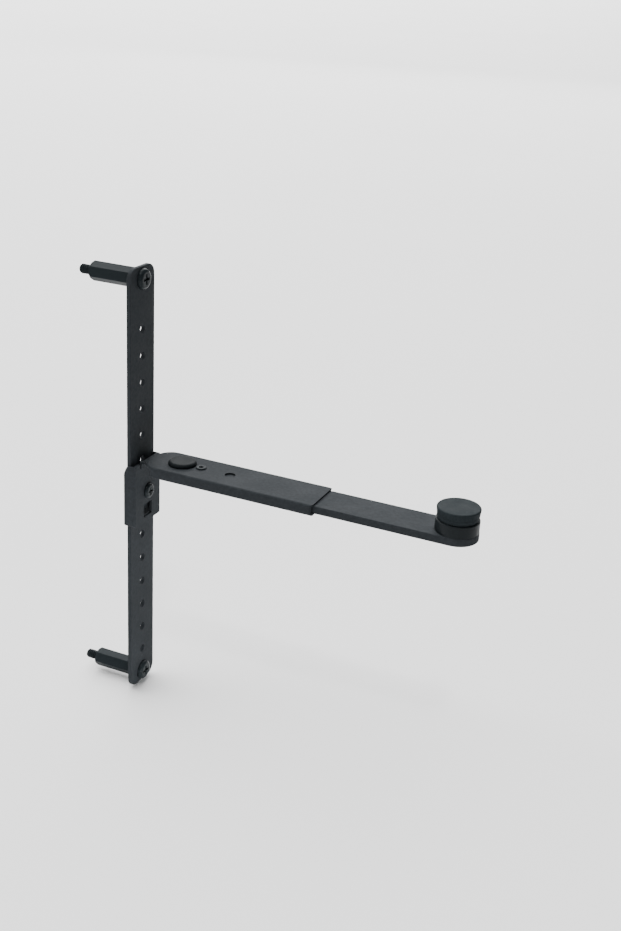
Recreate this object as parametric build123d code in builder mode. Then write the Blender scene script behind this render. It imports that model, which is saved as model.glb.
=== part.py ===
"""Graphics card support bracket: a drilled bar on two board studs carries a sliding arm with a jack pad.

The origin lies on the board, midway between the two studs. +X points away from the board along the arm,
+Y runs across the bar and +Z runs up the bar. Sizes are in millimetres.
"""
import os

from build123d import *

os.makedirs("parts", exist_ok=True)

# Studs and standoffs: the board's edge holes set the spacing
stud_spacing = 157.48
stud_diameter = 3.5
stud_length = 5.0
stud_point = 0.5
standoff_length = 18.5
standoff_across_flats = 6.2
standoff_corner_bevel = 0.5
upper_standoff_turn = 23.5
lower_standoff_turn = 5.5
standoff_bore_depth = 9.0

# Upright bar with its row of holes
bar_width = 16.2
bar_thickness = 1.6
bar_end_margin = 4.5
bar_corner_radius = 4.0
bar_hole_diameter = 3.2
bar_hole_pitch = 10.0
first_hole_drop = 18.0
last_hole_rise = 9.0
edge_round = 0.25

# Screws that hold the bar to the standoffs
bar_screw_diameter = 3.0
bar_screw_grip = 6.0
bar_screw_head_diameter = 7.6
bar_screw_head_height = 1.7
screw_hole_clearance = 0.15
thread_clearance = 0.05

# Slider: a sheet folded round the bar, with a window and a tongue under the arm
slider_rest_height = -0.9
slider_sheet = 0.9
slider_bend_radius = 0.9
slider_side_clearance = 0.2
slider_back_clearance = 0.1
slider_front_gap = 1.45
slider_shoulder_drop = 0.95
slider_below_lock = 12.1
slider_lip_width = 4.0
slider_top_bevel_depth = 1.6
slider_top_bevel_height = 3.9
slider_foot_bevel = 1.0
slider_foot_radius = 1.4
window_width = 5.6
window_height = 5.2
window_rise = 2.0
tongue_width = 9.0
tongue_bend_radius = 0.8
relief_width = 1.0

# Lock screw of the slider, in a burr behind the plate
lock_screw_diameter = 3.0
lock_head_diameter = 5.8
lock_head_height = 1.2
lock_head_gap = 0.1
lock_tip_gap = 0.05
burr_diameter = 4.6
burr_depth = 0.8

# Rivet on which the arm swivels
pivot_reach = 16.8
pivot_diameter = 4.0
pivot_fit = 0.06
pivot_face_clearance = 0.05
pivot_head_diameter = 10.4
pivot_head_height = 1.4
pivot_washer_diameter = 8.0
pivot_washer_thickness = 0.6
pivot_tail_diameter = 6.4
pivot_tail_height = 1.2

# Outer arm: a sheet folded round the inner arm
arm_sheet = 0.6
arm_bend_radius = 0.9
arm_above_lock = 13.8
arm_root_behind_pivot = 12.7
arm_root_corner = 6.5
arm_wall_behind_pivot = 8.5
arm_lip_setback = 2.3
arm_lip_width = 3.6
arm_end_reach = 72.2
arm_end_clip = 1.0

# Set screw of the arm and the spare tapped hole beside it
arm_lock_diameter = 3.8
arm_lock_gap = 0.6
arm_lock_rise = 0.5
arm_lock_round = 0.3
arm_lock_socket = 1.6
arm_lock_socket_depth = 0.7
spare_hole_pitch = 11.7

# Inner arm: flat bar with a round tip under the jack
inner_width = 15.2
inner_thickness = 2.8
inner_tail_gap = 1.0
inner_tail_chamfer = 0.6
inner_side_clearance = 0.9
inner_face_clearance = 0.05
jack_reach = 121.0

# Jack and pad at the tip
jack_base_diameter = 15.0
jack_base_height = 4.2
jack_spigot_diameter = 9.0
jack_spigot_fit = 0.05
jack_spigot_stake = 0.4
jack_screw_diameter = 6.0
jack_screw_tail = 0.2
jack_head_diameter = 11.0
jack_head_thickness = 1.5
pad_rest_gap = 0.2
pad_foot_diameter = 14.0
pad_top_diameter = 15.0
pad_height = 4.1
pad_head_fit = 0.05
pad_edge_round = 0.5

# Cross recess and rounding shared by the screws
recess_span_share = 0.5
recess_width_share = 0.13
recess_depth_share = 0.5
recess_taper = 12.0
head_round_share = 0.8
tip_chamfer = 0.4

# Places worked out from the sizes above
bar_back = standoff_length
bar_front = bar_back + bar_thickness
bar_length = stud_spacing + 2 * bar_end_margin
upper_stud = stud_spacing / 2
lower_stud = -stud_spacing / 2
standoff_corner_diameter = 2 * standoff_across_flats / 3**0.5
hole_row_top = upper_stud - first_hole_drop
bar_hole_count = 1 + int((stud_spacing - first_hole_drop - last_hole_rise) / bar_hole_pitch)
hole_row_middle = hole_row_top - bar_hole_pitch * (bar_hole_count - 1) / 2

plate_back = bar_front + slider_front_gap
plate_front = plate_back + slider_sheet
lips_front = bar_back - slider_back_clearance
lips_back = lips_front - slider_sheet
slider_half_width = bar_width / 2 + slider_side_clearance + slider_sheet
slider_bottom = slider_rest_height - slider_below_lock
lock_seat_x = plate_front + lock_head_gap

arm_top = slider_rest_height + arm_above_lock
web_bottom = arm_top - arm_sheet
inner_top = web_bottom - inner_face_clearance
inner_bottom = inner_top - inner_thickness
lips_top = inner_bottom - inner_face_clearance
arm_bottom = lips_top - arm_sheet
cavity_width = inner_width + 2 * inner_side_clearance
arm_width = cavity_width + 2 * arm_sheet

tongue_top = web_bottom - pivot_face_clearance
tongue_bottom = tongue_top - slider_sheet
slider_top = tongue_top - slider_shoulder_drop
washer_bottom = tongue_bottom - pivot_washer_thickness
tail_bottom = washer_bottom - pivot_tail_height
pivot_seat = arm_top + pivot_face_clearance
pivot_x = bar_front + pivot_reach
root_x = pivot_x - arm_root_behind_pivot
wall_x = pivot_x - arm_wall_behind_pivot
inner_start_x = pivot_x + tongue_width / 2 + inner_tail_gap
lip_x = inner_start_x + arm_lip_setback
arm_end_x = bar_front + arm_end_reach
arm_lock_x = pivot_x + pivot_head_diameter / 2 + arm_lock_gap + arm_lock_diameter / 2
spare_hole_x = arm_lock_x + spare_hole_pitch
jack_x = bar_front + jack_reach

jack_base_top = inner_top + jack_base_height
jack_spigot_bottom = inner_bottom - jack_spigot_stake
pad_bottom = jack_base_top + pad_rest_gap
pad_top = pad_bottom + pad_height


def finish(piece, name):
    """Names a finished piece and writes it to its own file."""
    piece.part.label = name
    export_step(piece.part, f"parts/{name}.step")


def profile_plane(seat):
    """Plane through a screw's axis: its x runs out from the axis and its y runs up the axis."""
    return Plane(origin=seat.origin, x_dir=seat.x_dir, z_dir=-seat.y_dir)


def headed_screw(seat, head_diameter, head_height, shank_diameter, shank_length):
    """Screw whose head stands on the seat plane, with its shank below the seat and a cross in its head."""
    along = Axis(seat.origin, seat.z_dir)
    with BuildPart() as screw:
        with BuildSketch(profile_plane(seat)):
            with Locations((0, head_height / 2)):
                Rectangle(head_diameter, head_height)
            with Locations((0, -shank_length / 2)):
                Rectangle(shank_diameter, shank_length)
            with Locations((-head_diameter / 2, 0)):
                Rectangle(head_diameter, 2 * (head_height + shank_length), mode=Mode.SUBTRACT)
        revolve(axis=along)
        rims = screw.edges().filter_by(GeomType.CIRCLE).sort_by(along)
        fillet(rims[-1], radius=head_height * head_round_share)
        rims = screw.edges().filter_by(GeomType.CIRCLE).sort_by(along)
        chamfer(rims[0], length=tip_chamfer)
        with BuildSketch(seat.offset(head_height)):
            Rectangle(head_diameter * recess_span_share, head_diameter * recess_width_share)
            Rectangle(head_diameter * recess_width_share, head_diameter * recess_span_share)
        extrude(amount=-head_height * recess_depth_share, taper=recess_taper, mode=Mode.SUBTRACT)
    return screw


# Upright bar: flat strip with round corners, a row of holes and two screw holes
with BuildPart() as upright_bar:
    with BuildSketch(Plane.YZ.offset(bar_back)):
        RectangleRounded(bar_width, bar_length, bar_corner_radius)
        with Locations((0, hole_row_middle)):
            with GridLocations(bar_hole_pitch, bar_hole_pitch, 1, bar_hole_count):
                Circle(bar_hole_diameter / 2, mode=Mode.SUBTRACT)
        with Locations((0, upper_stud), (0, lower_stud)):
            Circle(bar_screw_diameter / 2 + screw_hole_clearance, mode=Mode.SUBTRACT)
    extrude(amount=bar_thickness)
    flat_faces = upright_bar.faces().filter_by(Axis.X).sort_by(Axis.X)
    fillet(flat_faces[0].outer_wire().edges() + flat_faces[-1].outer_wire().edges(), radius=edge_round)
finish(upright_bar, "upright_bar")

# Standoffs: hexagon bar, bored for the bar screw at one end and turned down to a stud at the other
for name, height, turn in (
    ("upper_standoff", upper_stud, upper_standoff_turn),
    ("lower_standoff", lower_stud, lower_standoff_turn),
):
    foot = Plane(origin=(0, 0, height), x_dir=(0, 1, 0), z_dir=(1, 0, 0))
    axis = Axis(foot.origin, foot.z_dir)
    with BuildPart() as standoff:
        with BuildSketch(foot):
            RegularPolygon(standoff_across_flats / 2, 6, major_radius=False, rotation=turn)
        extrude(amount=standoff_length)
        with BuildSketch(profile_plane(foot)):
            with Locations((standoff_corner_diameter / 4, standoff_length / 2)):
                turned = Rectangle(standoff_corner_diameter / 2, standoff_length)
            chamfer(turned.vertices().group_by(Axis.X)[-1], length=standoff_corner_bevel)
        revolve(axis=axis, mode=Mode.INTERSECT)
        with BuildSketch(foot):
            Circle(stud_diameter / 2)
        extrude(amount=-stud_length)
        chamfer(standoff.edges().sort_by(Axis.X)[0], length=stud_point)
        with BuildSketch(foot.offset(standoff_length)):
            Circle(bar_screw_diameter / 2 + thread_clearance)
        extrude(amount=-standoff_bore_depth, mode=Mode.SUBTRACT)
    finish(standoff, name)

# Bar screws: one through each end of the bar into its standoff
for name, height in (("upper_bar_screw", upper_stud), ("lower_bar_screw", lower_stud)):
    seat = Plane(origin=(bar_front, 0, height), x_dir=(0, 1, 0), z_dir=(1, 0, 0))
    bar_screw = headed_screw(
        seat, bar_screw_head_diameter, bar_screw_head_height, bar_screw_diameter, bar_thickness + bar_screw_grip
    )
    finish(bar_screw, name)

# Slider: sheet folded round the bar's edges, with a tongue folded forward at the top
with BuildPart() as slider:
    with BuildSketch(Plane.XY.offset(slider_bottom)):
        with Locations(((lips_back + plate_front) / 2, 0)):
            RectangleRounded(plate_front - lips_back, 2 * slider_half_width, slider_bend_radius)
        with Locations(((lips_front + plate_back) / 2, 0)):
            Rectangle(plate_back - lips_front, bar_width + 2 * slider_side_clearance, mode=Mode.SUBTRACT)
        with Locations((lips_back, 0)):
            Rectangle(4 * slider_sheet, 2 * (slider_half_width - slider_lip_width), mode=Mode.SUBTRACT)
    extrude(amount=slider_top - slider_bottom)
    # Rounded lower corners, seen from the front
    with BuildSketch(Plane.YZ.offset(lips_back)) as front_outline:
        with Locations((0, (slider_top + slider_bottom) / 2)):
            Rectangle(2 * slider_half_width, slider_top - slider_bottom)
        fillet(front_outline.vertices().group_by(Axis.Z)[0], radius=slider_foot_radius)
    extrude(amount=plate_front - lips_back, mode=Mode.INTERSECT)
    # Lips and flanges slope off at the back, at the top and at the foot
    with BuildSketch(Plane.XZ):
        Polygon(
            (lips_back, slider_top),
            (lips_back, slider_top - slider_top_bevel_height),
            (lips_back + slider_top_bevel_depth, slider_top),
            align=None,
        )
        Polygon(
            (lips_back, slider_bottom),
            (lips_back + slider_foot_bevel, slider_bottom),
            (lips_back, slider_bottom + slider_foot_bevel),
            align=None,
        )
    extrude(amount=slider_half_width, both=True, mode=Mode.SUBTRACT)
    # Room at the top of the plate for the fold of the tongue
    fold_foot = tongue_bottom - tongue_bend_radius - relief_width
    with BuildSketch(Plane.YZ.offset(plate_back)):
        with Locations((0, (fold_foot + slider_top) / 2)):
            Rectangle(tongue_width + 2 * relief_width, slider_top - fold_foot)
    extrude(amount=slider_sheet, mode=Mode.SUBTRACT)
    # Tongue: up from the plate, round the fold and out to the pivot
    with BuildSketch(Plane.XZ):
        with BuildLine():
            FilletPolyline(
                (plate_back + slider_sheet / 2, fold_foot - relief_width),
                (plate_back + slider_sheet / 2, tongue_top - slider_sheet / 2),
                (pivot_x, tongue_top - slider_sheet / 2),
                radius=tongue_bend_radius + slider_sheet / 2,
            )
        trace(line_width=slider_sheet)
    extrude(amount=tongue_width / 2, both=True)
    with BuildSketch(Plane.XY.offset(tongue_bottom)):
        with Locations((pivot_x, 0)):
            Circle(tongue_width / 2)
    extrude(amount=slider_sheet)
    with BuildSketch(Plane.XY.offset(tongue_bottom)):
        with Locations((pivot_x, 0)):
            Circle(pivot_diameter / 2 + thread_clearance)
    extrude(amount=slider_sheet, mode=Mode.SUBTRACT)
    # Window low in the plate, through which the bar's holes show
    with BuildSketch(Plane.YZ.offset(plate_back)):
        with Locations((0, slider_bottom + window_rise + window_height / 2)):
            Rectangle(window_width, window_height)
    extrude(amount=slider_sheet, mode=Mode.SUBTRACT)
    # Burr behind the plate that carries the thread of the lock screw
    with BuildSketch(Plane.YZ.offset(plate_back)):
        with Locations((0, slider_rest_height)):
            Circle(burr_diameter / 2)
    extrude(amount=-burr_depth)
    with BuildSketch(Plane.YZ.offset(plate_front)):
        with Locations((0, slider_rest_height)):
            Circle(lock_screw_diameter / 2 + thread_clearance)
    extrude(amount=-slider_sheet - burr_depth, mode=Mode.SUBTRACT)
finish(slider, "slider")

# Lock screw: its tip bears on the bar's face
lock_seat = Plane(origin=(lock_seat_x, 0, slider_rest_height), x_dir=(0, 1, 0), z_dir=(1, 0, 0))
slider_lock_screw = headed_screw(
    lock_seat, lock_head_diameter, lock_head_height, lock_screw_diameter, lock_seat_x - bar_front - lock_tip_gap
)
finish(slider_lock_screw, "slider_lock_screw")

# Pivot rivet: low domed head on the arm, shank through the tongue and washer, upset tail below
with BuildPart() as pivot_rivet:
    with BuildSketch(Plane.XY.offset(pivot_seat)):
        with Locations((pivot_x, 0)):
            Circle(pivot_head_diameter / 2)
    extrude(amount=pivot_head_height)
    fillet(pivot_rivet.edges().group_by(Axis.Z)[-1], radius=pivot_head_height * head_round_share)
    with BuildSketch(Plane.XY.offset(washer_bottom)):
        with Locations((pivot_x, 0)):
            Circle(pivot_diameter / 2)
    extrude(amount=pivot_seat - washer_bottom)
    with BuildSketch(Plane.XY.offset(tail_bottom)):
        with Locations((pivot_x, 0)):
            Circle(pivot_tail_diameter / 2)
    extrude(amount=pivot_tail_height)
    fillet(pivot_rivet.edges().group_by(Axis.Z)[0], radius=pivot_tail_height * head_round_share)
finish(pivot_rivet, "pivot_rivet")

# Pivot washer between the tongue and the rivet's tail
with BuildPart() as pivot_washer:
    with BuildSketch(Plane.XY.offset(washer_bottom)):
        with Locations((pivot_x, 0)):
            Circle(pivot_washer_diameter / 2)
            Circle(pivot_diameter / 2 + screw_hole_clearance, mode=Mode.SUBTRACT)
    extrude(amount=pivot_washer_thickness)
finish(pivot_washer, "pivot_washer")

# Outer arm: channel with turned-in lips, its walls drawn round the corners of the root
with BuildPart() as outer_arm:
    with BuildSketch(Plane.XY.offset(arm_bottom)) as arm_outline:
        with Locations(((root_x + arm_end_x) / 2, 0)):
            Rectangle(arm_end_x - root_x, arm_width)
        fillet(arm_outline.vertices().group_by(Axis.X)[0], radius=arm_root_corner)
        chamfer(arm_outline.vertices().group_by(Axis.X)[-1], length=arm_end_clip)
    extrude(amount=arm_top - arm_bottom)
    # Bends along both sides, which run on round the root
    fillet(outer_arm.edges().filter_by(Axis.X), radius=arm_bend_radius)
    # Hollow for the inner arm, between the web and the lips
    with BuildSketch(Plane.XY.offset(lips_top)):
        with Locations(((lip_x + arm_end_x) / 2, 0)):
            Rectangle(arm_end_x - lip_x, cavity_width)
    extrude(amount=web_bottom - lips_top, mode=Mode.SUBTRACT)
    with BuildSketch(Plane.XY.offset(arm_bottom)):
        with Locations(((lip_x + arm_end_x) / 2, 0)):
            Rectangle(arm_end_x - lip_x, arm_width - 2 * arm_lip_width)
    extrude(amount=arm_sheet, mode=Mode.SUBTRACT)
    # Hollow of the root, with no lips because the tongue turns there
    with BuildSketch(Plane.XY.offset(arm_bottom)) as root_hollow:
        with Locations(((root_x + arm_sheet + lip_x) / 2, 0)):
            Rectangle(lip_x - root_x - arm_sheet, cavity_width)
        fillet(root_hollow.vertices().group_by(Axis.X)[0], radius=arm_root_corner - arm_sheet)
    extrude(amount=web_bottom - arm_bottom, mode=Mode.SUBTRACT)
    # Open end of the root, through which the tongue comes in
    with BuildSketch(Plane.XY.offset(arm_bottom)):
        with Locations(((root_x + wall_x) / 2, 0)):
            Rectangle(wall_x - root_x, arm_width)
    extrude(amount=web_bottom - arm_bottom, mode=Mode.SUBTRACT)
    # Pivot hole and the two tapped holes for the arm's lock screw
    with BuildSketch(Plane.XY.offset(web_bottom)):
        with Locations((pivot_x, 0)):
            Circle(pivot_diameter / 2 + pivot_fit)
        with Locations((arm_lock_x, 0), (spare_hole_x, 0)):
            Circle(arm_lock_diameter / 2 + thread_clearance)
    extrude(amount=arm_sheet, mode=Mode.SUBTRACT)
finish(outer_arm, "outer_arm")

# Arm lock screw: headless set screw with a hexagon socket, its tip bears on the inner arm
with BuildPart() as arm_lock_screw:
    with BuildSketch(Plane.XY.offset(inner_top + lock_tip_gap)):
        with Locations((arm_lock_x, 0)):
            Circle(arm_lock_diameter / 2)
    extrude(amount=arm_top + arm_lock_rise - inner_top - lock_tip_gap)
    fillet(arm_lock_screw.edges().group_by(Axis.Z)[-1], radius=arm_lock_round)
    with BuildSketch(Plane.XY.offset(arm_top + arm_lock_rise)):
        with Locations((arm_lock_x, 0)):
            RegularPolygon(arm_lock_socket / 2, 6, major_radius=False)
    extrude(amount=-arm_lock_socket_depth, mode=Mode.SUBTRACT)
finish(arm_lock_screw, "arm_lock_screw")

# Inner arm: flat bar with a round tip and a hole for the jack's spigot
with BuildPart() as inner_arm:
    with BuildSketch(Plane.XY.offset(inner_bottom)) as strip:
        with Locations(((inner_start_x + jack_x) / 2, 0)):
            Rectangle(jack_x - inner_start_x, inner_width)
        chamfer(strip.vertices().group_by(Axis.X)[0], length=inner_tail_chamfer)
        with Locations((jack_x, 0)):
            Circle(inner_width / 2)
            Circle(jack_spigot_diameter / 2 + jack_spigot_fit, mode=Mode.SUBTRACT)
    extrude(amount=inner_thickness)
    flat_faces = inner_arm.faces().filter_by(Axis.Z).sort_by(Axis.Z)
    fillet(flat_faces[0].outer_wire().edges() + flat_faces[-1].outer_wire().edges(), radius=edge_round)
finish(inner_arm, "inner_arm")

# Jack base: round boss on the tip, its spigot staked under the arm
with BuildPart() as jack_base:
    with BuildSketch(Plane.XY.offset(inner_top)):
        with Locations((jack_x, 0)):
            Circle(jack_base_diameter / 2)
    extrude(amount=jack_base_height)
    fillet(jack_base.edges().group_by(Axis.Z)[-1], radius=edge_round)
    with BuildSketch(Plane.XY.offset(jack_spigot_bottom)):
        with Locations((jack_x, 0)):
            Circle(jack_spigot_diameter / 2)
    extrude(amount=inner_top - jack_spigot_bottom)
    with BuildSketch(Plane.XY.offset(jack_spigot_bottom)):
        with Locations((jack_x, 0)):
            Circle(jack_spigot_diameter / 2 + jack_spigot_stake)
    extrude(amount=jack_spigot_stake)
    with BuildSketch(Plane.XY.offset(jack_spigot_bottom)):
        with Locations((jack_x, 0)):
            Circle(jack_screw_diameter / 2 + thread_clearance)
    extrude(amount=jack_base_top - jack_spigot_bottom, mode=Mode.SUBTRACT)
finish(jack_base, "jack_base")

# Jack screw: flat head inside the pad, stem down into the base
with BuildPart() as jack_screw:
    stem_bottom = jack_spigot_bottom + jack_screw_tail
    with BuildSketch(Plane.XY.offset(stem_bottom)):
        with Locations((jack_x, 0)):
            Circle(jack_screw_diameter / 2)
    extrude(amount=pad_bottom - stem_bottom)
    chamfer(jack_screw.edges().group_by(Axis.Z)[0], length=tip_chamfer)
    with BuildSketch(Plane.XY.offset(pad_bottom)):
        with Locations((jack_x, 0)):
            Circle(jack_head_diameter / 2)
    extrude(amount=jack_head_thickness)
finish(jack_screw, "jack_screw")

# Rubber pad: cap over the jack screw's head, a little wider at the top than at the foot
with BuildPart() as rubber_pad:
    with BuildSketch(Plane.XY.offset(pad_bottom)):
        with Locations((jack_x, 0)):
            Circle(pad_foot_diameter / 2)
    with BuildSketch(Plane.XY.offset(pad_top)):
        with Locations((jack_x, 0)):
            Circle(pad_top_diameter / 2)
    loft()
    fillet(rubber_pad.edges().group_by(Axis.Z)[-1], radius=pad_edge_round)
    fillet(rubber_pad.edges().group_by(Axis.Z)[0], radius=edge_round)
    with BuildSketch(Plane.XY.offset(pad_bottom)):
        with Locations((jack_x, 0)):
            Circle(jack_head_diameter / 2 + pad_head_fit)
    extrude(amount=jack_head_thickness, mode=Mode.SUBTRACT)
finish(rubber_pad, "rubber_pad")
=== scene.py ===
# %% [markdown]
# Graphics card support bracket: the dressing of a CAD model in Blender.
# The bracket's solids are loaded as a fixed frame, and this lesson gives every one of them its real
# edges, threads and finish. Read it from top to bottom: each step says what the piece is on the real
# object, how it could be made, and why it is made this way here.

# %% Load the frame
import math

import bmesh
import bpy
from mathutils import Matrix, Vector


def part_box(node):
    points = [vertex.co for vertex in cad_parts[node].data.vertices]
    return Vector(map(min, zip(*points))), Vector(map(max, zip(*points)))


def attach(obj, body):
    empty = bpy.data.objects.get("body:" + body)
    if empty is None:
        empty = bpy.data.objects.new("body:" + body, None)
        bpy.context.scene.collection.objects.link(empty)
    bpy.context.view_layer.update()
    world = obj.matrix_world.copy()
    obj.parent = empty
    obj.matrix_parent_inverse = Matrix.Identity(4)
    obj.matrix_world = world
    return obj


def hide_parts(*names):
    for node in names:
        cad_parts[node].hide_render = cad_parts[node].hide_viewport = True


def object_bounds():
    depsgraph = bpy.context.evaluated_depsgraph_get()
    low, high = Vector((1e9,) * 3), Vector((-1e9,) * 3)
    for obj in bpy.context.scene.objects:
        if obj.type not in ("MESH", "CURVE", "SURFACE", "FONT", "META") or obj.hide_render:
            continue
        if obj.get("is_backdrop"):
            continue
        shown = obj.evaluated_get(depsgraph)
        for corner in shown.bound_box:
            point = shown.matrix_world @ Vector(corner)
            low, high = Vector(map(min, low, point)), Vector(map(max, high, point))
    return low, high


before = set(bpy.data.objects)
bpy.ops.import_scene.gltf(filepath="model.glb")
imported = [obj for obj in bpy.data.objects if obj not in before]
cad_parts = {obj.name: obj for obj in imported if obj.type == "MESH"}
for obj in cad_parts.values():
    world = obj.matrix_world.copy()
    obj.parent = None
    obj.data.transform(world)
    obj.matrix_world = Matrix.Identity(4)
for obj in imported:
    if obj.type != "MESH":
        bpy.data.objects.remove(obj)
cad_low, cad_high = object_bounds()
mm = 0.001
print("nodes:", ", ".join(sorted(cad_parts)))
print("CAD box in mm:", [round((high - low) / mm, 2) for low, high in zip(cad_low, cad_high)])

# %% [markdown]
# The camera. The picture was taken by hand from a little above, with the bar upright on the left and the
# arm reaching to the lower right. A camera could be placed by eye, but the stud spacing and the row of
# holes are known sizes, so its place, its turn and its focal length were worked out from where those
# points fall in the picture. The lens is given by the focal length in pixels of the picture's long side.

# %% Camera
picture_height = 931
sensor_side = 36.0
focal_pixels = 1246.2
camera_eye = Vector((241.4, -363.6, 189.6)) * mm
camera_azimuth = math.radians(22.99)
camera_elevation = math.radians(22.82)
camera_roll = math.radians(3.30)

camera_data = bpy.data.cameras.new("portrait_camera")
camera_data.sensor_width = sensor_side
camera_data.lens = focal_pixels * sensor_side / picture_height
camera_data.clip_start = 0.01
camera_data.clip_end = 100.0
camera = bpy.data.objects.new("portrait_camera", camera_data)
bpy.context.scene.collection.objects.link(camera)
camera.matrix_world = (
    Matrix.Translation(camera_eye)
    @ Matrix.Rotation(camera_azimuth, 4, "Z")
    @ Matrix.Rotation(math.pi / 2 - camera_elevation, 4, "X")
    @ Matrix.Rotation(camera_roll, 4, "Z")
)
bpy.context.scene.camera = camera
print("lens in mm:", round(camera_data.lens, 2))

# %% [markdown]
# Small helpers for every node tree below. A node tree is easiest to read when one line makes one node, so
# one helper makes a node with its settings and inputs, and the next ones do one step of arithmetic or mix
# two colours. The last three make the greys and the two cool blacks that the finishes are mixed from.


# %% Helpers for node trees
def feed(tree, socket, value):
    """Gives a socket a plain value, or links another node's output to it."""
    if isinstance(value, bpy.types.NodeSocket):
        tree.links.new(value, socket)
    else:
        socket.default_value = value


def add_node(tree, kind, inputs=None, **settings):
    """Makes one node, with its settings and its inputs by name."""
    node = tree.nodes.new(kind)
    for key, value in settings.items():
        setattr(node, key, value)
    for key, value in (inputs or {}).items():
        feed(tree, node.inputs[key], value)
    return node


def work_out(tree, operation, *values, clamp=False):
    """One step of arithmetic on numbers or on other nodes' outputs."""
    node = tree.nodes.new("ShaderNodeMath")
    node.operation = operation
    node.use_clamp = clamp
    for socket, value in zip(node.inputs, values):
        feed(tree, socket, value)
    return node.outputs[0]


def steepen(tree, value, contrast):
    """More contrast about the middle of a value from 0 to 1, cut off at both ends."""
    return work_out(tree, "MULTIPLY_ADD", value, contrast, (1.0 - contrast) / 2, clamp=True)


def two_tone(tree, share, dark, light):
    """A colour between two, by a share from 0 to 1."""
    tint = add_node(tree, "ShaderNodeMix", data_type="RGBA")
    sockets = {socket.identifier: socket for socket in tint.inputs}
    feed(tree, sockets["Factor_Float"], share)
    feed(tree, sockets["A_Color"], dark)
    feed(tree, sockets["B_Color"], light)
    return next(socket for socket in tint.outputs if socket.identifier == "Result_Color")


# %% Helpers for colours
def grey(level):
    """A neutral colour."""
    return (level, level, level, 1.0)


def charcoal(level):
    """A cool black: its red is weaker and its blue a little stronger than its green."""
    return (0.88 * level, level, 1.12 * level, 1.0)


def blue_black(level):
    """A black with a clearer cast, as plated and moulded parts show in the shade."""
    return (0.78 * level, level, 1.12 * level, 1.0)


print("red of both blacks beside their green:", charcoal(1.0)[0], blue_black(1.0)[0])

# %% [markdown]
# The stage. The bracket stands over a white table under soft light. A plain plane does for the table,
# with a faint cloudiness so that it isn't a dead flat colour. It is as wide and as deep as the light
# panel that will hang over it, because a table that runs on past its light turns grey towards its edge.
# It lies a millimetre under the bar's lower end, so that the end's round corners stand clear of their own
# dark contact shadow.


# %% Floor
def pale_floor_finish():
    """White table top with a faint, wide cloudiness."""
    finish = bpy.data.materials.new("pale_table")
    finish.use_nodes = True
    tree = finish.node_tree
    shader = tree.nodes["Principled BSDF"]
    shader.inputs["Roughness"].default_value = 0.9
    shader.inputs["Specular IOR Level"].default_value = 0.1
    place = add_node(tree, "ShaderNodeTexCoord").outputs["Object"]
    cloud = add_node(tree, "ShaderNodeTexNoise", {"Vector": place, "Scale": 3.0, "Detail": 2.0})
    feed(tree, shader.inputs["Base Color"], two_tone(tree, cloud.outputs["Fac"], grey(0.86), grey(0.90)))
    return finish


table_drop = 1.0 * mm
table_middle = Vector((-3.6, 7.0, cad_low.z - table_drop))
table_width = 9.0
table_depth = 18.0
floor_mesh = bpy.data.meshes.new("table_top")
floor_corners = [
    table_middle + Vector((x * table_width / 2, y * table_depth / 2, 0.0))
    for x, y in ((-1, -1), (1, -1), (1, 1), (-1, 1))
]
floor_mesh.from_pydata(floor_corners, [], [(0, 1, 2, 3)])
floor_mesh.materials.append(pale_floor_finish())
floor = bpy.data.objects.new("table_top", floor_mesh)
bpy.context.scene.collection.objects.link(floor)
floor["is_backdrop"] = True
print("table at", round(table_middle.z / mm, 2), "mm")

# %% [markdown]
# The light. The picture shows upward faces a clear step lighter than upright ones, a bar that darkens
# towards its top, and no hard shadow. One lamp overhead would leave the far table dark, so a panel as
# large as the table hangs over it. Most of both lies behind the bracket and to its left, so that the
# bar's broad face stays dark. A panel behind and a weak one on the left open the shadows, and a small
# lamp draws a thin bright line on the screw heads. A strip close to the table lifts the bar's lower half,
# with its beam narrowed so that it misses the table. A small lamp does the same for the bar's lower end.
# It is too low to miss the table, so light linking lets it reach the bracket's pieces alone. No light is
# seen by the camera. The room is dim, but the camera sees it as pale as the table.


# %% Lights
def light_panel(name, width, depth, place, target, power):
    """A soft light of a width and a depth at a place, turned to a target."""
    data = bpy.data.lights.new(name, "AREA")
    data.shape = "RECTANGLE"
    data.size = width
    data.size_y = depth
    data.energy = power
    panel = bpy.data.objects.new(name, data)
    panel.location = place
    panel.rotation_euler = (Vector(target) - Vector(place)).to_track_quat("-Z", "Y").to_euler()
    panel.visible_camera = False
    bpy.context.scene.collection.objects.link(panel)
    return panel


middle = (cad_low + cad_high) / 2
ceiling_height = 4.2
over_table = table_middle + Vector((0.0, 0.0, ceiling_height))
bar_middle = Vector((0.0, 0.0, -0.010))
bar_end = Vector((0.0, 0.0, -0.078))
light_panel("ceiling_panel", table_width, table_depth, place=over_table, target=table_middle, power=2620.0)
light_panel("back_panel", 2.0, 2.0, place=(-0.4, 2.2, 1.1), target=middle, power=12.0)
light_panel("left_panel", 0.8, 0.8, place=(-1.2, -0.7, 0.6), target=middle, power=3.0)
light_panel("small_lamp", 0.15, 0.15, place=(0.45, -0.9, 1.9), target=middle, power=9.0)
low_strip = light_panel(
    "low_strip", 0.10, 0.02, place=(0.10, -0.05, -0.072), target=bar_middle, power=0.014
)
low_strip.data.spread = math.radians(60.0)
foot_lamp = light_panel(
    "foot_lamp", 0.03, 0.01, place=(0.06, -0.03, -0.078), target=bar_end, power=0.004
)
foot_lamp.data.spread = math.radians(70.0)
bracket_only = bpy.data.collections.new("bracket_only")
foot_lamp.light_linking.receiver_collection = bracket_only
print("lights:", ", ".join(lamp.name for lamp in bpy.data.lights))

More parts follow.
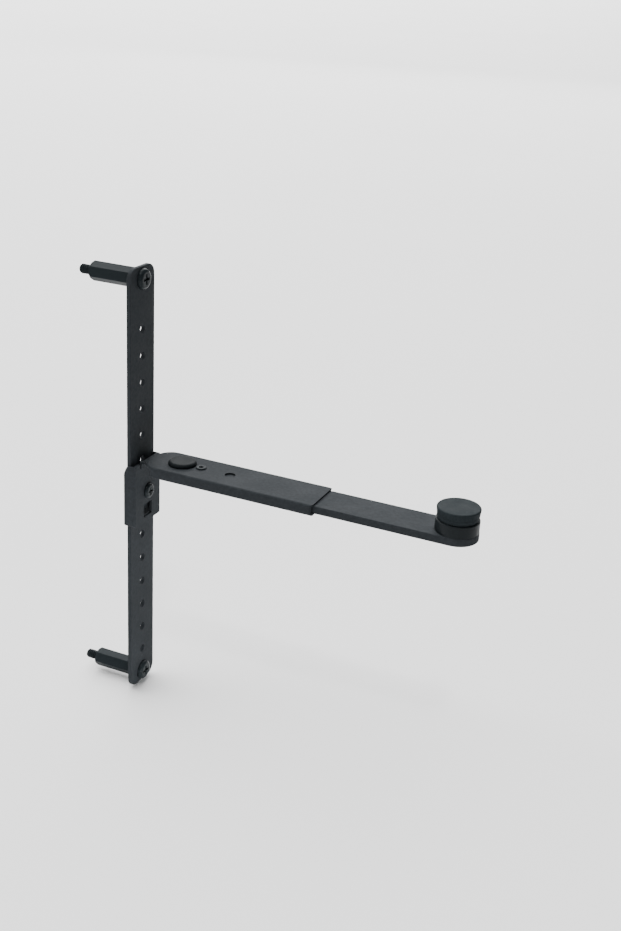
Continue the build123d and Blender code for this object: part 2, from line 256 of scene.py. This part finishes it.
# %% Room
room_tone = (0.143, 0.146, 0.150, 1.0)
backdrop_tone = grey(2.0)
room = bpy.data.worlds.new("soft_room")
room.use_nodes = True
sky = room.node_tree
seen_by_camera = add_node(sky, "ShaderNodeLightPath").outputs["Is Camera Ray"]
seen_tone = two_tone(sky, seen_by_camera, room_tone, backdrop_tone)
feed(sky, sky.nodes["Background"].inputs["Color"], seen_tone)
bpy.context.scene.world = room
print("room:", room.name)

# %% [markdown]
# Effects that several finishes share. Paint and plating are never quite even, so one group makes a fine
# grain with a slower swell under it, and another varies the gloss where hands have been. A third lightens
# the rounded edges, partly for the thin coat there and partly as a painted highlight. Groups are built
# once and placed in each material with its own values.


# %% Shared effects: a new group with named sockets
def new_effect(name, wanted, given):
    """A shader group with named inputs (name, kind, value) and outputs (name, kind)."""
    group = bpy.data.node_groups.new(name, "ShaderNodeTree")
    for label, kind, value in wanted:
        socket = group.interface.new_socket(label, in_out="INPUT", socket_type=kind)
        if value is not None:
            socket.default_value = value
    for label, kind in given:
        group.interface.new_socket(label, in_out="OUTPUT", socket_type=kind)
    return group, group.nodes.new("NodeGroupInput").outputs, group.nodes.new("NodeGroupOutput").inputs


NUMBER = "NodeSocketFloat"
COLOUR = "NodeSocketColor"
VECTOR = "NodeSocketVector"


# %% Shared effect: grain of a coat
def make_grain():
    """Fine grain on a slower swell, as sprayed powder leaves when it melts."""
    group, wanted, given = new_effect(
        "coat_grain",
        [
            ("Place", VECTOR, None),
            ("Grains per metre", NUMBER, 3500.0),
            ("Swells per metre", NUMBER, 900.0),
        ],
        [("Height", NUMBER), ("Tone", NUMBER)],
    )
    fine = add_node(group, "ShaderNodeTexNoise", {"Vector": wanted["Place"], "Detail": 2.0})
    feed(group, fine.inputs["Scale"], wanted["Grains per metre"])
    slow = add_node(group, "ShaderNodeTexNoise", {"Vector": wanted["Place"], "Detail": 1.0})
    feed(group, slow.inputs["Scale"], wanted["Swells per metre"])
    swell_share = 0.65
    swell = work_out(group, "MULTIPLY", slow.outputs["Fac"], swell_share)
    height = work_out(group, "MULTIPLY_ADD", fine.outputs["Fac"], 1.0 - swell_share, swell)
    feed(group, given["Height"], height)
    feed(group, given["Tone"], steepen(group, height, 3.0))
    return group


coat_grain = make_grain()
print("effect:", coat_grain.name)


# %% Shared effect: gloss that varies with handling
def make_handling():
    """Roughness that drifts between two values in soft patches a few millimetres wide."""
    group, wanted, given = new_effect(
        "handling_marks",
        [
            ("Place", VECTOR, None),
            ("Patches per metre", NUMBER, 120.0),
            ("Smooth", NUMBER, 0.4),
            ("Rough", NUMBER, 0.55),
        ],
        [("Roughness", NUMBER)],
    )
    patch = add_node(group, "ShaderNodeTexNoise", {"Vector": wanted["Place"], "Detail": 3.0})
    feed(group, patch.inputs["Roughness"], 0.6)
    feed(group, patch.inputs["Scale"], wanted["Patches per metre"])
    spread = add_node(group, "ShaderNodeMapRange", {"From Min": 0.3, "From Max": 0.7})
    feed(group, spread.inputs["Value"], patch.outputs["Fac"])
    feed(group, spread.inputs["To Min"], wanted["Smooth"])
    feed(group, spread.inputs["To Max"], wanted["Rough"])
    feed(group, given["Roughness"], spread.outputs["Result"])
    return group


handling_marks = make_handling()
print("effect:", handling_marks.name)


# %% Shared effect: thin coat and painted highlight on the edges
def make_edges():
    """Lightens the faces that the edge rounding marked, unevenly along their length: thin coat and painted
    highlight.
    """
    group, wanted, given = new_effect(
        "thin_edges",
        [
            ("Place", VECTOR, None),
            ("Coat", COLOUR, (0.02, 0.02, 0.02, 1.0)),
            ("Thin coat", COLOUR, (0.05, 0.05, 0.05, 1.0)),
            ("Amount", NUMBER, 0.6),
        ],
        [("Color", COLOUR)],
    )
    # The bevel's mark and a streaky noise lift the edges towards a paler tone: thin coat and a painted
    # highlight.
    mark = add_node(group, "ShaderNodeAttribute", attribute_name="edge_mark")
    streak = add_node(group, "ShaderNodeTexNoise", {"Vector": wanted["Place"], "Detail": 3.0})
    feed(group, streak.inputs["Scale"], 350.0)
    uneven = steepen(group, streak.outputs["Fac"], 1.6)
    share = work_out(group, "MULTIPLY", uneven, wanted["Amount"])
    mask = work_out(group, "MULTIPLY", mark.outputs["Fac"], share)
    feed(group, given["Color"], two_tone(group, mask, wanted["Coat"], wanted["Thin coat"]))
    return group


thin_edges = make_edges()
print("effect:", thin_edges.name)

# %% [markdown]
# A helper for the finishes. Each of them starts the same way: a Principled shader, the piece's own Object
# coordinates, and the shared effects placed with this finish's values. What makes one finish differ from
# the next, such as drawn lines or turning marks, is added by its own function.


# %% Start of a finish
def place_effect(tree, group, **values):
    """Places a shared effect in a material, with this material's own values."""
    node = tree.nodes.new("ShaderNodeGroup")
    node.node_tree = group
    for key, value in values.items():
        feed(tree, node.inputs[key.replace("_", " ")], value)
    return node.outputs


def start_finish(name):
    """A new material: its tree, its shader and the piece's own coordinates."""
    finish = bpy.data.materials.new(name)
    finish.use_nodes = True
    tree = finish.node_tree
    shader = tree.nodes["Principled BSDF"]
    place = add_node(tree, "ShaderNodeTexCoord").outputs["Object"]
    return finish, tree, shader, place


def raise_surface(tree, shader, height, depth, strength):
    """Bump of a depth in metres on the shader's normal."""
    bump = add_node(tree, "ShaderNodeBump", {"Height": height, "Distance": depth, "Strength": strength})
    tree.links.new(bump.outputs["Normal"], shader.inputs["Normal"])


# %% [markdown]
# Powder coat on the folded sheets and the bar. The real coat is a charcoal black with a slight blue cast,
# and a fine even grain that spreads the light. It mirrors hardly anything: its tops are lighter than its
# sides only because more light falls on them, so the specular level is low and the roughness high. Grain
# goes into the bump and a little into the colour.


# %% Powder coat
def powder_coat_finish():
    """Charcoal powder coat with a fine grain, for the sheets."""
    finish, tree, shader, place = start_finish("powder_coat")
    shader.inputs["Specular IOR Level"].default_value = 0.04
    grain = place_effect(tree, coat_grain, Place=place, Grains_per_metre=3200.0, Swells_per_metre=850.0)
    body = two_tone(tree, grain["Tone"], charcoal(0.024), charcoal(0.031))
    # The rounded edges lighten to a paler charcoal: thin coat, and a painted highlight.
    edges = place_effect(tree, thin_edges, Place=place, Coat=body, Thin_coat=charcoal(0.075), Amount=0.6)
    gloss = place_effect(tree, handling_marks, Place=place, Patches_per_metre=90.0, Smooth=0.60, Rough=0.70)
    tree.links.new(edges["Color"], shader.inputs["Base Color"])
    tree.links.new(gloss["Roughness"], shader.inputs["Roughness"])
    raise_surface(tree, shader, grain["Height"], depth=0.06 * mm, strength=0.35)
    return finish


powder_coat = powder_coat_finish()
print("finish:", powder_coat.name)

# %% [markdown]
# Black plating on the hexagon standoffs. They are cut from drawn hexagon bar, so fine lines run along
# them under the plating. A noise stretched along the bar's length gives the lines, in the colour and as a
# faint bump. Plating is smoother than powder coat, so each flat of the hexagon shows a tone of its own.


# %% Black plated hexagon bar
def drawn_lines(tree, place, along, across):
    """Noise stretched along X, as drawing through a die leaves on bar stock."""
    stretch = add_node(tree, "ShaderNodeMapping", {"Vector": place, "Scale": (along, across, across)})
    lines = add_node(tree, "ShaderNodeTexNoise", {"Scale": 1.0, "Detail": 3.0})
    tree.links.new(stretch.outputs["Vector"], lines.inputs["Vector"])
    return lines.outputs["Fac"]


def plated_hexagon_finish():
    """Dark plating over drawn hexagon bar."""
    finish, tree, shader, place = start_finish("black_plated_hexagon")
    shader.inputs["Specular IOR Level"].default_value = 0.04
    lines = drawn_lines(tree, place, along=90.0, across=4500.0)
    body = two_tone(tree, lines, blue_black(0.015), blue_black(0.021))
    # The rounded edges lighten to a paler charcoal: thin plating, and a painted highlight.
    edges = place_effect(tree, thin_edges, Place=place, Coat=body, Thin_coat=charcoal(0.06), Amount=0.5)
    gloss = place_effect(tree, handling_marks, Place=place, Patches_per_metre=120.0, Smooth=0.38, Rough=0.44)
    tree.links.new(edges["Color"], shader.inputs["Base Color"])
    tree.links.new(gloss["Roughness"], shader.inputs["Roughness"])
    raise_surface(tree, shader, lines, depth=0.01 * mm, strength=0.4)
    return finish


plated_hexagon = plated_hexagon_finish()
print("finish:", plated_hexagon.name)

# %% [markdown]
# Black fasteners. Screw heads are cold formed and blackened, so they are smoother than the sheets and
# catch a thin bright line on their rims, which a painted highlight on the edges strengthens. The set screw
# on the arm is duller, and the rivet and its washer are dullest, as phosphated steel is. All are one
# recipe, a dark colour with a mottle a fraction of a millimetre wide, so one function makes them, with a
# darkness and a gloss for each.


# %% Black fasteners
def black_fastener_finish(name, level, specular, smooth, rough):
    """Blackened steel of a darkness, with a fine mottle, glossy or dull."""
    finish, tree, shader, place = start_finish(name)
    shader.inputs["Specular IOR Level"].default_value = specular
    grain = place_effect(tree, coat_grain, Place=place, Grains_per_metre=5200.0, Swells_per_metre=1600.0)
    body = two_tone(tree, grain["Tone"], blue_black(0.85 * level), blue_black(1.15 * level))
    # Rims and recess edges lighten to a paler charcoal: thin blackening, and a painted highlight.
    edges = place_effect(tree, thin_edges, Place=place, Coat=body, Thin_coat=charcoal(0.030), Amount=0.4)
    gloss = place_effect(
        tree, handling_marks, Place=place, Patches_per_metre=150.0, Smooth=smooth, Rough=rough
    )
    tree.links.new(edges["Color"], shader.inputs["Base Color"])
    tree.links.new(gloss["Roughness"], shader.inputs["Roughness"])
    raise_surface(tree, shader, grain["Height"], depth=0.01 * mm, strength=0.05)
    return finish


blackened_screw = black_fastener_finish(
    "blackened_screw", level=0.017, specular=0.06, smooth=0.20, rough=0.28
)
blackened_set_screw = black_fastener_finish(
    "blackened_set_screw", level=0.020, specular=0.04, smooth=0.40, rough=0.50
)
phosphated_rivet = black_fastener_finish(
    "phosphated_rivet", level=0.011, specular=0.04, smooth=0.50, rough=0.60
)
print("finishes:", blackened_screw.name, blackened_set_screw.name, phosphated_rivet.name)

# %% [markdown]
# The jack under the pad. Its base and its screw are turned parts, blackened too. A lathe tool leaves fine
# rings round the axis, which here stands along Z, so a noise that changes quickly in Z and hardly at all
# across gives the turning marks.


# %% Turned jack parts
def turned_jack_finish():
    """Blackened turned metal with fine rings round its axis."""
    finish, tree, shader, place = start_finish("turned_jack")
    shader.inputs["Specular IOR Level"].default_value = 0.08
    stretch = add_node(tree, "ShaderNodeMapping", {"Vector": place, "Scale": (60.0, 60.0, 6500.0)})
    rings = add_node(tree, "ShaderNodeTexNoise", {"Scale": 1.0, "Detail": 2.0})
    tree.links.new(stretch.outputs["Vector"], rings.inputs["Vector"])
    body = two_tone(tree, rings.outputs["Fac"], blue_black(0.009), blue_black(0.014))
    # The rounded edges lighten well above the dark body: thin blackening, and a painted highlight.
    edges = place_effect(tree, thin_edges, Place=place, Coat=body, Thin_coat=charcoal(0.05), Amount=0.4)
    gloss = place_effect(tree, handling_marks, Place=place, Patches_per_metre=250.0, Smooth=0.34, Rough=0.46)
    tree.links.new(edges["Color"], shader.inputs["Base Color"])
    tree.links.new(gloss["Roughness"], shader.inputs["Roughness"])
    raise_surface(tree, shader, rings.outputs["Fac"], depth=0.01 * mm, strength=0.4)
    return finish


turned_jack = turned_jack_finish()
print("finish:", turned_jack.name)

# %% [markdown]
# Rubber of the pad. Moulded rubber is duller than the coat beside it and has a fine speckle from its
# mould. A faint pale bloom lies on it in soft patches. Roughness stays high everywhere, so the top reads
# as one even grey and the side as nearly black.


# %% Moulded rubber
def moulded_rubber_finish():
    """Dull black rubber with a fine mould speckle and a faint bloom."""
    finish, tree, shader, place = start_finish("moulded_rubber")
    shader.inputs["Specular IOR Level"].default_value = 0.04
    grain = place_effect(tree, coat_grain, Place=place, Grains_per_metre=4200.0, Swells_per_metre=1400.0)
    bloom = add_node(tree, "ShaderNodeTexNoise", {"Vector": place, "Scale": 260.0, "Detail": 4.0})
    body = two_tone(tree, grain["Tone"], blue_black(0.016), blue_black(0.021))
    bloom_contrast = 1.2
    bloom_shift = -0.4
    patches = work_out(tree, "MULTIPLY_ADD", bloom.outputs["Fac"], bloom_contrast, bloom_shift, clamp=True)
    bloomed = two_tone(tree, patches, body, blue_black(0.026))
    gloss = place_effect(tree, handling_marks, Place=place, Patches_per_metre=180.0, Smooth=0.58, Rough=0.72)
    tree.links.new(bloomed, shader.inputs["Base Color"])
    tree.links.new(gloss["Roughness"], shader.inputs["Roughness"])
    raise_surface(tree, shader, grain["Height"], depth=0.05 * mm, strength=0.4)
    return finish


moulded_rubber = moulded_rubber_finish()
print("finish:", moulded_rubber.name)

# %% [markdown]
# Softened edges. No real sheet, screw or nut has a knife-sharp edge, and the thin bright line that a
# rounded edge catches is what makes metal look like metal. The CAD solids could be left sharp and faked
# in the shader, but then the exported model would lose it. So each piece is a copy of its solid: its
# loose triangles are merged, its flats are joined into single faces, and a Bevel modifier rounds the
# sharp edges. A Weld after it drops the slivers that a bevel can leave in tight corners. The bevel marks
# its faces, and that mark becomes the attribute that the shared edge effect reads, to lighten these faces
# with thin coat and a painted highlight.

# %% Softened copies: the merged solid
weld_distance = 0.0002 * mm
flat_angle = math.radians(0.4)
sharp_angle = math.radians(32.0)


def merged_copy(node):
    """The solid's triangles, welded, with its flats joined into single faces."""
    shape = bmesh.new()
    shape.from_mesh(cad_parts[node].data)
    bmesh.ops.remove_doubles(shape, verts=shape.verts, dist=weld_distance)
    bmesh.ops.dissolve_limit(shape, angle_limit=flat_angle, verts=shape.verts, edges=shape.edges)
    return shape


print("edges sharper than", round(math.degrees(sharp_angle)), "degrees will be rounded")


# %% Softened copies: the rounded edges
def evaluated_mesh(piece):
    """The piece's mesh with its modifiers applied, as a plain mesh."""
    graph = bpy.context.evaluated_depsgraph_get()
    return bpy.data.meshes.new_from_object(piece.evaluated_get(graph), depsgraph=graph)


def soften(shape, name, width, steps=2):
    """Rounds the sharp edges of a bmesh shape and returns a mesh whose new faces carry an edge mark."""
    mesh = bpy.data.meshes.new(name)
    shape.to_mesh(mesh)
    shape.free()
    for spare in ("custom_normal", "sharp_edge", "sharp_face"):
        if spare in mesh.attributes:
            mesh.attributes.remove(mesh.attributes[spare])
    mesh.polygons.foreach_set("use_smooth", [True] * len(mesh.polygons))
    trial = bpy.data.objects.new(name + "_trial", mesh)
    bpy.context.scene.collection.objects.link(trial)
    # Two slots for now, so that the bevel can put its own faces into the second one.
    edge_slot = 1
    mesh.materials.append(powder_coat)
    mesh.materials.append(powder_coat)
    bevel = trial.modifiers.new("soft_edges", "BEVEL")
    bevel.width = width
    bevel.segments = steps
    bevel.limit_method = "ANGLE"
    bevel.angle_limit = sharp_angle
    bevel.material = edge_slot
    trial.modifiers.new("no_slivers", "WELD").merge_threshold = weld_distance
    trial.modifiers.new("even_flats", "WEIGHTED_NORMAL")
    softened = evaluated_mesh(trial)
    marks = [0.0] * len(softened.loops)
    for face in softened.polygons:
        if face.material_index == edge_slot:
            for corner in face.loop_indices:
                marks[corner] = 1.0
        face.material_index = 0
    softened.attributes.new("edge_mark", "FLOAT", "CORNER").data.foreach_set("value", marks)
    bpy.data.objects.remove(trial)
    bpy.data.meshes.remove(mesh)
    return softened


# %% Softened copies: the finished piece
def put_piece(name, mesh, finish, body, slot_name, *nodes):
    """A finished piece: it rides on its body, stands for its solids and takes the foot lamp's light."""
    mesh.name = name
    mesh.materials.clear()
    mesh.materials.append(finish)
    piece = bpy.data.objects.new(name, mesh)
    bpy.context.scene.collection.objects.link(piece)
    bracket_only.objects.link(piece)
    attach(piece, body)
    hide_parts(*nodes)
    print(name, "rides on", body, "with", len(mesh.polygons), "faces")


# %% [markdown]
# The coated sheets: the drilled bar, the slider folded round it, the channel of the outer arm and the
# flat inner arm. Punched and sheared edges are a little rounder under powder than a machined edge, so
# these get the widest rounding, an eighth of a millimetre.

# %% Coated sheets
sheet_edge = 0.13 * mm
coated = {
    "upright_bar": "upright",
    "slider": "height_slider",
    "outer_arm": "arm_channel",
    "inner_arm": "arm_strip",
}
for node, body in coated.items():
    softened = soften(merged_copy(node), node, sheet_edge)
    put_piece(node + "_coated", softened, powder_coat, body, "coated_sheet", node)

# %% [markdown]
# Screws, rivet and washer. Their heads come domed from the solids, with a cross or a socket pressed into
# each screw, and the rounding here takes the sharpness off the recesses and the rims.

# %% Screws, rivet and washer
screw_edge = 0.08 * mm
blackened = {
    "upper_bar_screw": ("upright", blackened_screw),
    "lower_bar_screw": ("upright", blackened_screw),
    "slider_lock_screw": ("height_slider", blackened_screw),
    "arm_lock_screw": ("arm_channel", blackened_set_screw),
    "pivot_rivet": ("height_slider", phosphated_rivet),
    "pivot_washer": ("height_slider", phosphated_rivet),
}
for node, (body, finish) in blackened.items():
    softened = soften(merged_copy(node), node, screw_edge)
    put_piece(node + "_blackened", softened, finish, body, "black_screw", node)

# %% [markdown]
# Threads. A thread follows a rule exactly: its radius depends only on how far along and how far round the
# screw you are. So Geometry Nodes makes it from a flat grid: one direction of the grid goes round, the
# other goes along, and a triangle wave of along minus round gives the ridge. The first and last rows are
# drawn to the axis, which closes the ends, and the tree's inputs set radius, pitch, length and the plain
# neck.


# %% Thread tree: sockets and the grid
def make_thread_tree():
    """Closed threaded rod along Z from 0 to its length: a grid wrapped round the axis."""
    tree = bpy.data.node_groups.new("threaded_rod", "GeometryNodeTree")
    for label, value in (
        ("Crest radius", 1.75 * mm),
        ("Root radius", 1.40 * mm),
        ("Pitch", 0.79 * mm),
        ("Length", 5.0 * mm),
        ("Neck", 0.6 * mm),
        ("Point", 0.5 * mm),
    ):
        tree.interface.new_socket(label, in_out="INPUT", socket_type=NUMBER).default_value = value
    for label, value in (("Steps round", 48), ("Steps along", 72)):
        tree.interface.new_socket(label, in_out="INPUT", socket_type="NodeSocketInt").default_value = value
    tree.interface.new_socket("Finish", in_out="INPUT", socket_type="NodeSocketMaterial")
    tree.interface.new_socket("Geometry", in_out="OUTPUT", socket_type="NodeSocketGeometry")
    sizes = tree.nodes.new("NodeGroupInput").outputs
    columns = work_out(tree, "ADD", sizes["Steps round"], 1.0)
    rows = work_out(tree, "ADD", sizes["Steps along"], 1.0)
    grid = add_node(tree, "GeometryNodeMeshGrid", {"Size X": 1.0, "Size Y": 1.0})
    feed(tree, grid.inputs["Vertices X"], columns)
    feed(tree, grid.inputs["Vertices Y"], rows)
    spot = add_node(tree, "ShaderNodeSeparateXYZ")
    tree.links.new(add_node(tree, "GeometryNodeInputPosition").outputs["Position"], spot.inputs["Vector"])
    # The grid is centred, so half of its size is added to make both directions start at 0.
    turn = work_out(tree, "ADD", spot.outputs["X"], 0.5)
    row = work_out(tree, "MULTIPLY", work_out(tree, "ADD", spot.outputs["Y"], 0.5), sizes["Steps along"])
    shape_thread(tree, sizes, grid.outputs["Mesh"], turn, row)
    return tree


# %% Thread tree: the rule for the radius
def ridge_height(tree, sizes, turn, along):
    """From 0 in the root to 1 on the crest: a triangle wave with its tips cut flat."""
    spare_turns = 8.0
    pitches = work_out(tree, "ADD", work_out(tree, "DIVIDE", along, sizes["Pitch"]), spare_turns)
    phase = work_out(tree, "FRACT", work_out(tree, "SUBTRACT", pitches, turn))
    wave = work_out(tree, "ABSOLUTE", work_out(tree, "MULTIPLY_ADD", phase, 2.0, -1.0))
    cut = steepen(tree, wave, 1.5)
    past_neck = work_out(tree, "SUBTRACT", along, sizes["Neck"])
    runout = work_out(tree, "DIVIDE", past_neck, sizes["Pitch"], clamp=True)
    return work_out(tree, "MULTIPLY", cut, runout)


def shape_thread(tree, sizes, grid, turn, row):
    """Wraps the grid round Z by the thread's rule, closes it and gives it its finish."""
    last = work_out(tree, "SUBTRACT", sizes["Steps along"], 1.0)
    run = work_out(tree, "SUBTRACT", sizes["Steps along"], 2.0)
    share = work_out(tree, "DIVIDE", work_out(tree, "SUBTRACT", row, 1.0), run, clamp=True)
    along = work_out(tree, "MULTIPLY", share, sizes["Length"])
    depth = work_out(tree, "SUBTRACT", sizes["Crest radius"], sizes["Root radius"])
    ridge = work_out(tree, "MULTIPLY", ridge_height(tree, sizes, turn, along), depth)
    threaded = work_out(tree, "ADD", sizes["Root radius"], ridge)
    to_tip = work_out(tree, "SUBTRACT", sizes["Length"], along)
    drawn_in = work_out(tree, "SUBTRACT", sizes["Point"], to_tip)
    tip = work_out(tree, "SUBTRACT", sizes["Crest radius"], drawn_in)
    pointed = work_out(tree, "MINIMUM", threaded, tip)
    half_row = 0.5
    after_first = work_out(tree, "GREATER_THAN", row, half_row)
    before_last = work_out(tree, "LESS_THAN", row, work_out(tree, "ADD", last, half_row))
    radius = work_out(tree, "MULTIPLY", pointed, work_out(tree, "MULTIPLY", after_first, before_last))
    angle = work_out(tree, "MULTIPLY", turn, 2 * math.pi)
    wrapped = add_node(tree, "ShaderNodeCombineXYZ")
    feed(tree, wrapped.inputs["X"], work_out(tree, "MULTIPLY", radius, work_out(tree, "COSINE", angle)))
    feed(tree, wrapped.inputs["Y"], work_out(tree, "MULTIPLY", radius, work_out(tree, "SINE", angle)))
    feed(tree, wrapped.inputs["Z"], along)
    moved = add_node(tree, "GeometryNodeSetPosition", {"Geometry": grid})
    feed(tree, moved.inputs["Position"], wrapped.outputs["Vector"])
    closed = add_node(tree, "GeometryNodeMergeByDistance", {"Geometry": moved.outputs[0]})
    feed(tree, closed.inputs["Distance"], 0.001 * mm)
    real = add_node(tree, "GeometryNodeRealizeInstances", {"Geometry": closed.outputs[0]})
    finished = add_node(tree, "GeometryNodeSetMaterial", {"Geometry": real.outputs[0]})
    feed(tree, finished.inputs["Material"], sizes["Finish"])
    tree.links.new(finished.outputs[0], add_node(tree, "NodeGroupOutput").inputs["Geometry"])


threaded_rod = make_thread_tree()
print("tree:", threaded_rod.name, "with", len(threaded_rod.nodes), "nodes")


# %% Thread tree: from tree to plain mesh
smooth_angle = math.radians(40.0)


def thread_mesh(name, place, finish, **sizes):
    """Runs the tree with these sizes and returns a plain mesh, moved to its place."""
    blank = bpy.data.objects.new(name + "_blank", bpy.data.meshes.new(name + "_blank"))
    bpy.context.scene.collection.objects.link(blank)
    run = blank.modifiers.new("thread", "NODES")
    run.node_group = threaded_rod
    for item in threaded_rod.interface.items_tree:
        key = item.name.lower().replace(" ", "_")
        if item.in_out == "INPUT" and key in sizes:
            run[item.identifier] = sizes[key]
        elif item.name == "Finish":
            run[item.identifier] = finish
    mesh = evaluated_mesh(blank)
    bpy.data.objects.remove(blank)
    mesh.transform(place)
    shape = bmesh.new()
    shape.from_mesh(mesh)
    bmesh.ops.recalc_face_normals(shape, faces=shape.faces)
    shape.to_mesh(mesh)
    shape.free()
    mesh.polygons.foreach_set("use_smooth", [True] * len(mesh.polygons))
    mesh.set_sharp_from_angle(angle=smooth_angle)
    return mesh


def join_meshes(name, *meshes):
    """One mesh from several, each already in its place."""
    shape = bmesh.new()
    for mesh in meshes:
        shape.from_mesh(mesh)
    joined = bpy.data.meshes.new(name)
    shape.to_mesh(joined)
    shape.free()
    return joined


# %% [markdown]
# The standoffs: hexagon bars with a threaded stud that screws into the board. The hexagon is the solid's
# own, with the plain stud cut away and the opening closed, and the threaded stud stands in its place. It
# starts with a short neck, where a thread cutter can't reach the shoulder.

# %% Standoffs
hex_edge = 0.10 * mm
stud_crest = 1.75 * mm
stud_root = 1.40 * mm
stud_pitch = 0.794 * mm
stud_sunk = 0.3 * mm
stud_neck = 0.35 * mm
stud_point = 0.5 * mm
cut_margin = 0.01 * mm


def cut_off(shape, spare):
    """Deletes the spare faces of a closed shape and closes the opening that they leave."""
    bmesh.ops.delete(shape, geom=spare, context="FACES")
    bmesh.ops.holes_fill(shape, edges=[edge for edge in shape.edges if edge.is_boundary], sides=0)
    return shape


def hexagon_only(node):
    """The standoff's solid without its stud, closed again at the board end."""
    shape = merged_copy(node)
    stud = [face for face in shape.faces if face.calc_center_median().x < -cut_margin]
    return cut_off(shape, stud)


for node in ("upper_standoff", "lower_standoff"):
    low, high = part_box(node)
    axis_height = (low.z + high.z) / 2
    to_stud = Matrix.Translation((stud_sunk, 0.0, axis_height)) @ Matrix.Rotation(-math.pi / 2, 4, "Y")
    stud = thread_mesh(
        node + "_stud",
        to_stud,
        plated_hexagon,
        crest_radius=stud_crest,
        root_radius=stud_root,
        pitch=stud_pitch,
        length=stud_sunk - low.x,
        neck=stud_sunk + stud_neck,
        point=stud_point,
    )
    hexagon = soften(hexagon_only(node), node, hex_edge)
    standoff = join_meshes(node, hexagon, stud)
    put_piece(node + "_plated", standoff, plated_hexagon, "upright", "black_plated_hex", node)

# %% [markdown]
# The jack: a round base staked into the arm's tip, and a screw that carries the pad. Turning the pad
# lifts it, and then its thread shows in the gap, so the screw gets a real thread from the same tree, with
# other sizes. Its flat head sits inside the pad.

# %% Jack base and jack screw
turned_edge = 0.10 * mm
jack_low, jack_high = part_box("jack_screw")
jack_axis = (jack_low + jack_high) / 2
pad_low, pad_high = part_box("rubber_pad")


def jack_head_only():
    """The jack screw's solid without its stem and underside, closed again by one flat face."""
    shape = merged_copy("jack_screw")
    below = [face for face in shape.faces if face.calc_center_median().z < pad_low.z + cut_margin]
    return cut_off(shape, below)


to_stem = Matrix.Translation((jack_axis.x, 0.0, pad_low.z)) @ Matrix.Rotation(math.pi, 4, "X")
stem = thread_mesh(
    "jack_stem",
    to_stem,
    turned_jack,
    crest_radius=3.0 * mm,
    root_radius=2.5 * mm,
    pitch=1.0 * mm,
    length=pad_low.z - jack_low.z,
    neck=0.0,
    point=0.4 * mm,
)
head = soften(jack_head_only(), "jack_head", turned_edge)
screw = join_meshes("jack_screw", head, stem)
put_piece("jack_screw_turned", screw, turned_jack, "pad", "jack_metal", "jack_screw")
base = soften(merged_copy("jack_base"), "jack_base", turned_edge)
put_piece("jack_base_turned", base, turned_jack, "arm_strip", "jack_metal", "jack_base")

# %% [markdown]
# The rubber pad: a moulded cap over the jack screw's head. A revolved profile is the natural way to make
# it, as its mould was turned on a lathe: a flat top that sinks a little in the middle, a rounded rim, a
# side that draws in towards the foot with a faint parting line, and the recess that grips the head
# underneath.

# %% Rubber pad: its half section
foot_radius = 7.0 * mm
top_radius = 7.5 * mm
rim_round = 0.5 * mm
foot_round = 0.25 * mm
pad_dish = 0.06 * mm
groove = 0.07 * mm
parting_drop = 0.4 * mm
recess_room = 0.05 * mm
recess_radius = (jack_high.x - jack_low.x) / 2 + recess_room
side_slope = (top_radius - foot_radius) / (pad_high.z - pad_low.z)
side_lean = math.degrees(math.atan(side_slope))


def side_radius(height):
    """Radius of the pad's side at a height."""
    return foot_radius + side_slope * (height - pad_low.z)


def side_arc(height, radius, start, end, steps):
    """Points of a rounding that touches the side, from one angle in degrees to another."""
    centre = side_radius(height) - radius / math.cos(math.radians(side_lean))
    angles = [math.radians(start + (end - start) * step / steps) for step in range(steps + 1)]
    return [(centre + radius * math.cos(a), height + radius * math.sin(a)) for a in angles]


def pad_profile():
    """Half section of the pad, from the middle of its top round to the middle of its recess."""
    top = pad_high.z
    parting = (top + pad_low.z) / 2 - parting_drop
    dish = ((0.0, 1.0), (0.55, 0.7), (0.9, 0.1))
    points = [(out * foot_radius, top - down * pad_dish) for out, down in dish]
    points += side_arc(top - rim_round, rim_round, 90.0, -side_lean, steps=6)
    points += [
        (side_radius(parting + groove), parting + groove),
        (side_radius(parting) - groove, parting),
        (side_radius(parting - groove), parting - groove),
    ]
    points += side_arc(pad_low.z + foot_round, foot_round, -side_lean, -90.0, steps=4)
    points += [(recess_radius, pad_low.z), (recess_radius, jack_high.z), (0.0, jack_high.z)]
    return points


print("half section with", len(pad_profile()), "points, its side leans", round(side_lean, 1), "degrees")


# %% Rubber pad: turned round its axis
pad_steps = 96


def revolve(name, profile, centre_x, steps):
    """A closed mesh from a half section turned round a line that stands along Z."""
    shape = bmesh.new()
    chain = [shape.verts.new((centre_x + radius, 0.0, height)) for radius, height in profile]
    edges = [shape.edges.new(pair) for pair in zip(chain, chain[1:])]
    bmesh.ops.spin(
        shape,
        geom=chain + edges,
        cent=(centre_x, 0, 0),
        axis=(0, 0, 1),
        angle=2 * math.pi,
        steps=steps,
        use_merge=True,
    )
    bmesh.ops.remove_doubles(shape, verts=shape.verts, dist=weld_distance)
    bmesh.ops.recalc_face_normals(shape, faces=shape.faces)
    mesh = bpy.data.meshes.new(name)
    shape.to_mesh(mesh)
    shape.free()
    mesh.polygons.foreach_set("use_smooth", [True] * len(mesh.polygons))
    mesh.set_sharp_from_angle(angle=smooth_angle)
    return mesh


pad = revolve("rubber_pad", pad_profile(), jack_axis.x, pad_steps)
put_piece("rubber_pad_moulded", pad, moulded_rubber, "pad", "pad_rubber", "rubber_pad")

# %% [markdown]
# The sizes. The box of the dressed bracket is printed in millimetres, to set beside the box of the solids
# printed at the start.

# %% Sizes and end
low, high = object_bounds()
print("visual box in mm:", [round((b - a) / mm, 2) for a, b in zip(low, high)])
